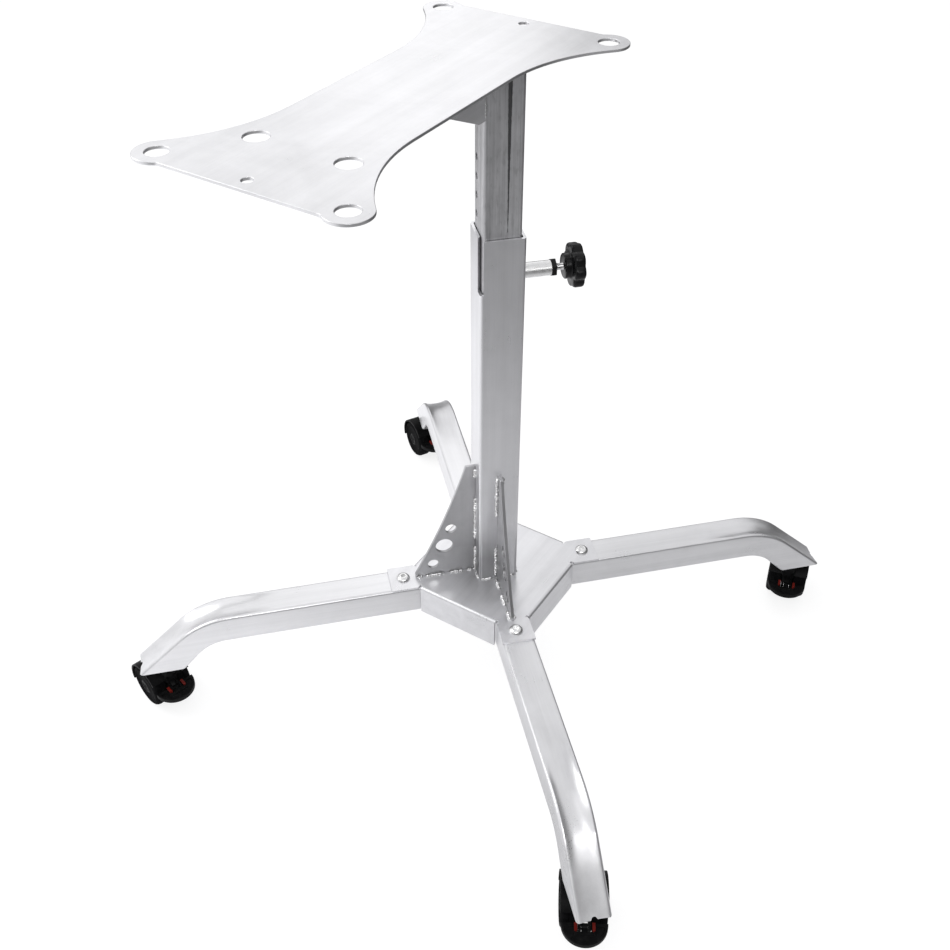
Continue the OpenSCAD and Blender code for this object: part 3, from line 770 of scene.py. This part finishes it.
def make_dark_line():
    """A dark strip down the front face of the drawn tube, widest near the top, that fades out
    downwards.
    """
    top, length, steps = UNDER - 12.0, 178.0, 60
    from_middle, widest, fade = 4.9, 2.7, 0.88
    sway, uneven = 0.06, 0.22
    under, proud = -TUBE + 0.2, -TUBE - 0.1
    rng = random.Random(3)
    bm = bmesh.new()
    rings = []
    for i in range(steps + 1):
        t = i / steps
        width = widest * min(1.0, i / 2 + 0.3) * (1 - fade * t) + rng.uniform(-uneven, uneven)
        x = from_middle + rng.uniform(-sway, sway)
        rings.append([MAST @ (Vector((x + across * width, y, top - length * t)) * MM)
                      for across, y in ((-1.0, under), (-0.8, proud), (0.8, proud),
                                        (1.0, under))])
    loft(bm, rings)
    piece("inner_tube_dark_line", bm, "dark_line", "mast")


# ---- Fasteners, clamp screw and knob, in millimetres ---------------------------

THREAD_DEPTH = 0.54     # depth of a screw thread, as a share of its pitch
THREAD_RINGS = 6        # rings for each turn of a thread
THREAD_TAPER = 0.35     # how much smaller the first and last rings are
BOLT_OUT = 120.0        # from the mast's middle
BOLT_R, BOLT_PITCH, BOLT_TOP = 5.0, 1.5, -38.0
SCREW_R, SCREW_PITCH = 4.0, 1.25


def hexed(flats):
    """The reshape of a round ring into a hexagon, this wide across its flats."""
    def change(r, h, a):
        off = (a + math.pi / 6) % (math.pi / 3) - math.pi / 6
        return min(r, flats / 2 / math.cos(off)), h
    return change


def thread_rings(matrix, radius, pitch, start, end, steps):
    """Rings of a screw thread along the matrix's Z axis, with its two ends eased."""
    count = max(2, int(abs(end - start) / pitch * THREAD_RINGS))
    rings = []
    for i in range(count + 1):
        h = start + (end - start) * i / count
        taper = THREAD_TAPER if i in (0, count) else 0.0
        ring = []
        for k in range(steps):
            a = TAU * k / steps
            saw = (h / pitch - k / steps) % 1.0
            r = (radius - THREAD_DEPTH * pitch * abs(2 * saw - 1) - taper) * MM
            ring.append(matrix @ Vector((r * math.cos(a), r * math.sin(a), h * MM)))
        rings.append(ring)
    return rings


def make_bolts():
    """Button-head screws: a domed head with a hexagon socket, and the threaded end."""
    lo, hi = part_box("leg_bolts")
    foot = (lo.z - HUB_TOP) / MM
    tall = (hi.z - HUB_TOP) / MM / 5.0      # dome and mouth are drawn for a 5 mm head
    dome = [(8.4, 0.0), (8.75, 0.35), (8.7, 0.9), (8.2, 1.9), (7.3, 2.9), (6.1, 3.75),
            (4.9, 4.3), (4.2, 4.5)]
    mouth = [(3.7, 4.35), (3.6, 3.9)]
    floor = [(3.6, 1.6), (3.2, 1.3)]
    steps, flats = 60, 6.0
    bm = bmesh.new()
    for k in range(4):
        seat = MAST @ turn_z(90 * k) @ Matrix.Translation((BOLT_OUT * MM, 0, HUB_TOP))
        rings = turned_rings([(r, h * tall) for r, h in dome], seat, steps)
        rings += turned_rings([(r, h * tall) for r, h in mouth] + floor, seat, steps,
                              hexed(flats))
        loft(bm, rings)
        loft(bm, thread_rings(seat, BOLT_R, BOLT_PITCH, foot + 0.6, BOLT_TOP, 28))
    piece("leg_bolts_finish", bm, "zinc", "base", ["leg_bolts"], angle=40)


def make_nuts():
    eased("leg_nuts", "zinc", 0.5)
    eased("jam_nut", "dark", 0.6)
    eased("threaded_boss", "boss", 0.7, 3)


def make_screw():
    """Clamp screw: a threaded rod from the pad to inside the knob. Its box lies at 45
    degrees, so both its length and its diameter show in the box."""
    lo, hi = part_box("clamp_screw")
    length = (hi.x - lo.x) / MM * math.sqrt(2) - 2 * SCREW_R
    start = (MAST.inverted() @ middle("clamp_screw")).x / MM - length / 2
    bm = bmesh.new()
    loft(bm, thread_rings(SCREW, SCREW_R, SCREW_PITCH, start, start + length, 32))
    piece("clamp_screw_thread", bm, "zinc", "clamp_screw",
          ["clamp_screw"], angle=50)


def make_knob():
    """Star knob: rounded lobes, a dished face and a stepped hub towards the screw."""
    lobes, rim, lobe = 8, 25.0, 3.0
    back, front = 80.0, 93.0
    steps = 192

    def lobed(r, h, a):
        return r - lobe + lobe * (0.5 + 0.5 * math.cos(a * lobes)) ** 0.6, h

    hub = [(4.1, back - 7.0), (12.9, back - 7.0), (13.7, back - 6.5), (14.0, back - 5.6),
           (14.0, back - 2.2), (14.6, back - 0.6), (15.6, back)]
    edge = [(rim - inset, back + x) for inset, x in
            ((4.2, 0.0), (2.4, 0.25), (1.1, 0.9), (0.3, 2.0), (0.0, 3.4))]
    edge += [(rim - inset, front - x) for inset, x in
             ((0.0, 3.6), (0.25, 2.2), (1.0, 1.0), (2.2, 0.3), (3.8, 0.0))]
    face = [(16.6, front), (15.4, front - 0.5), (14.4, front - 1.6), (11.4, front - 1.7),
            (10.6, front - 1.2), (10.0, front - 0.3), (9.0, front), (3.0, front)]
    bm = bmesh.new()
    loft(bm, turned_rings(hub, SCREW, steps) + turned_rings(edge, SCREW, steps, lobed)
         + turned_rings(face, SCREW, steps))
    piece("star_knob_moulding", bm, "knob", "clamp_screw", ["star_knob"],
          angle=50)


# ---- Casters, in millimetres ---------------------------------------------------

WHEEL_W = 19.0
WHEEL_STEPS = 96
SPOKES = 6
POCKET_IN, POCKET_OUT, POCKET_DEPTH = 11.0, 22.0, 3.6   # the hollows between the spokes
FACE_REACH = 6.0        # points this near the outer face belong to it


def wheel_frame(corner, side):
    """Axis of one wheel: Z runs outwards along the axle, from the wheel's inner face."""
    spot = middle(f"wheel_{side}_{corner}")
    out = CASTER[corner].to_3x3() @ Vector((0, 1 if side == "left" else -1, 0))
    turn = out.to_track_quat("Z", "X").to_matrix().to_4x4()
    return Matrix.Translation(spot - out * WHEEL_W / 2 * MM) @ turn


def pockets(r, h, a):
    """Sinks the wheel's outer face between the spokes."""
    if not POCKET_IN < r < POCKET_OUT or h <= WHEEL_W - FACE_REACH:
        return r, h
    spoke = (0.5 + 0.5 * math.cos(a * SPOKES) - 0.72) / 0.2
    between = 1 - max(0.0, min(1.0, spoke))
    edge = min(1.0, (r - POCKET_IN) / 1.6, (POCKET_OUT - r) / 1.6)
    return r, h - POCKET_DEPTH * between * edge


def make_wheel(corner, side):
    """A wheel: its grooved tyre, and the disc with a raised hub and shallow pockets."""
    node = f"wheel_{side}_{corner}"
    m = wheel_frame(corner, side)
    w = WHEEL_W
    r = WHEEL_R / MM
    tyre = [(24.2, 1.0), (r - 3.0, 0.0), (r - 1.4, 0.5), (r - 0.35, 1.7), (r, 3.2),
            (r, 8.6), (r - 0.7, 9.0), (r - 0.7, 10.0), (r, 10.4), (r, w - 6.4),
            (r - 0.5, w - 3.9), (r - 1.9, w - 1.7), (r - 3.9, w - 0.4), (24.6, w - 0.2),
            (23.8, w - 1.0)]
    disc = [(3.2, 0.6), (24.0, 0.6), (24.4, 2.0), (24.4, w - 1.6), (23.6, w - 1.2),
            (22.6, w - 2.6), (22.0, w - 2.8), (20.6, w - 2.8), (19.5, w - 2.8), (16, w - 2.9),
            (13.6, w - 2.9), (12.6, w - 2.9), (11.0, w - 2.8), (10.2, w - 2.2),
            (9.8, w - 1.0), (9.0, w - 0.4), (7.4, w - 0.2), (6.6, w - 0.9), (3.2, w - 1.0)]
    for part, profile, reshape, material, slot, replaced, angle in (
            ("tyre", tyre, None, "tread", "wheel_tread", [node], 50),
            ("disc", disc, pockets, "caster", "caster_plastic", (), 40)):
        bm = bmesh.new()
        loft(bm, turned_rings(profile, m, WHEEL_STEPS, reshape))
        piece(f"{node}_{part}", bm, material, node, replaced, angle)


def make_insert(corner):
    """Red marker of the brake: two lugs that are set in the top of the foot pedal."""
    inner, outer, back, front = 8.2, 11.6, 13.0, 21.5
    sunk, proud = -0.4, 2.0
    nose = 1.6
    outline = [(back, inner), (front, inner), (front + nose, inner + 1.2), (front, outer),
               (back, outer)]
    top = high(f"brake_lever_{corner}").z / MM
    bm = bmesh.new()
    for side in (-1, 1):
        loft(bm, [[CASTER[corner] @ (Vector((x, side * y, top + z)) * MM) for x, y in outline]
                  for z in (sunk, proud)])
    ease_edges(bm, 0.5)
    piece(f"brake_insert_{corner}", bm, "brake", f"brake_lever_{corner}",
          angle=40)


def make_caster(corner):
    for side in ("left", "right"):
        make_wheel(corner, side)
    eased(f"caster_hood_{corner}", "caster", 0.7)
    eased(f"brake_lever_{corner}", "caster", 1.2, 3)
    make_insert(corner)
    eased(f"caster_stem_{corner}", "zinc", 0.4)
    eased(f"caster_axle_{corner}", "zinc", 0.3)
    eased(f"brake_pin_{corner}", "zinc", 0.3)


# ---- The whole stand -----------------------------------------------------------


def make_stand():
    eased("top_plate", "plate", 0.6, 3)
    eased("hub_plate", "hub", 0.5)
    eased("mast_sleeve", "sleeve", 0.45)
    eased("inner_tube", "tube", 0.4)
    eased("plate_gusset", "bracket", 0.4)
    eased("gusset_front_left", "gusset", 0.5)
    eased("gusset_front_right", "gusset", 0.5)
    eased("clamp_pad", "brass", 0.3)
    make_bolts()
    make_nuts()
    make_screw()
    make_knob()
    make_dark_line()
    make_welds()
    for corner in CORNERS:
        make_leg(corner)
        make_plug(corner)
        make_caster(corner)


make_stage()
make_stand()
